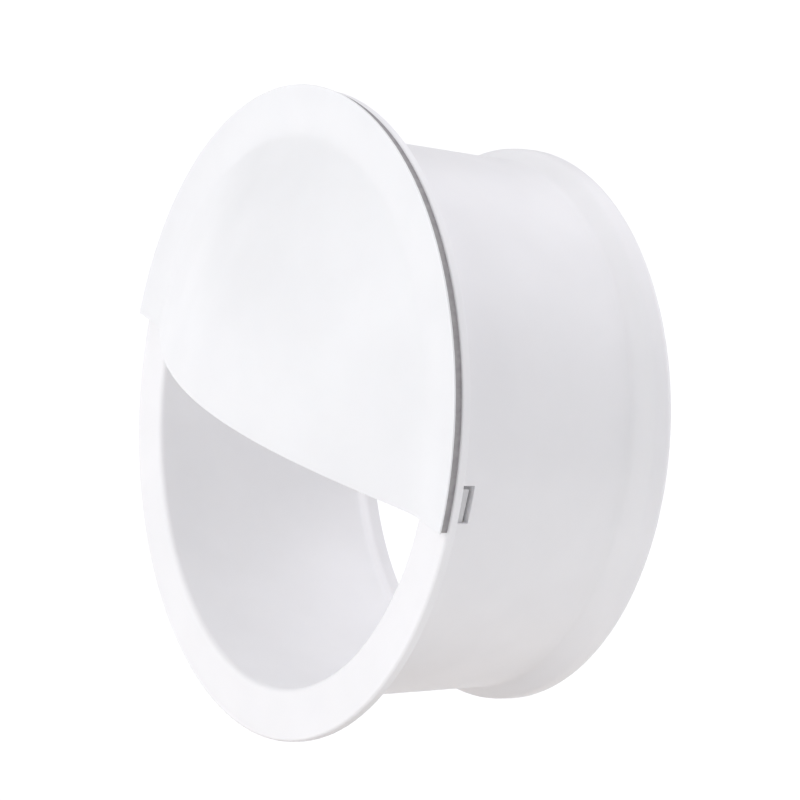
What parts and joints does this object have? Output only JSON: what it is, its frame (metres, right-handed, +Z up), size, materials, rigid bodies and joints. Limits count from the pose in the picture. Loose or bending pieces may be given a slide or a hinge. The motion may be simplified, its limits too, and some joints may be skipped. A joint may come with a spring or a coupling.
{
  "type": "cowl vent",
  "caption": "Round through-wall vent: a flanged duct with a rear hose bead and a half-round cowl hood that snaps over the upper half.",
  "frame": {"origin": "centre of the duct, in the plane of the flange's back face, which rests on the wall", "axes": "+Y along the duct into the wall, -Y is the front, +Z up towards the hood, +X to the right seen from the front"},
  "size_m": [0.1212, 0.0661, 0.1206],
  "materials": {
    "white_body": "fine moulded satin white",
    "white_hood": "smooth moulded satin white",
    "grey_seal": "matt grey foam rubber"
  },
  "bodies": {
    "body": {"vent_body": "white_body"},
    "hood": {"cowl_hood": "white_hood", "hood_seal": "grey_seal"},
    "hook_right": {"snap_arm_right": "white_hood"},
    "hook_left": {"snap_arm_left": "white_hood"}
  },
  "joints": [
    {"name": "hood_pull", "type": "slide", "parent": "body", "child": "hood", "axis": [0, -1, 0], "range_m": [0, 0.05], "deforming": ["snap_arm_right", "snap_arm_left"]},
    {"name": "hook_flex_right", "type": "hinge", "parent": "hood", "child": "hook_right", "pos_m": [0.047, -0.0024, 0.00195], "axis": [0, 0, 1], "range_deg": [0, 22], "stiffness_Nm_per_rad": 0.25},
    {"name": "hook_flex_left", "type": "hinge", "parent": "hood", "child": "hook_left", "pos_m": [-0.047, -0.0024, 0.00195], "axis": [0, 0, -1], "range_deg": [0, 22], "stiffness_Nm_per_rad": 0.25}
  ]
}
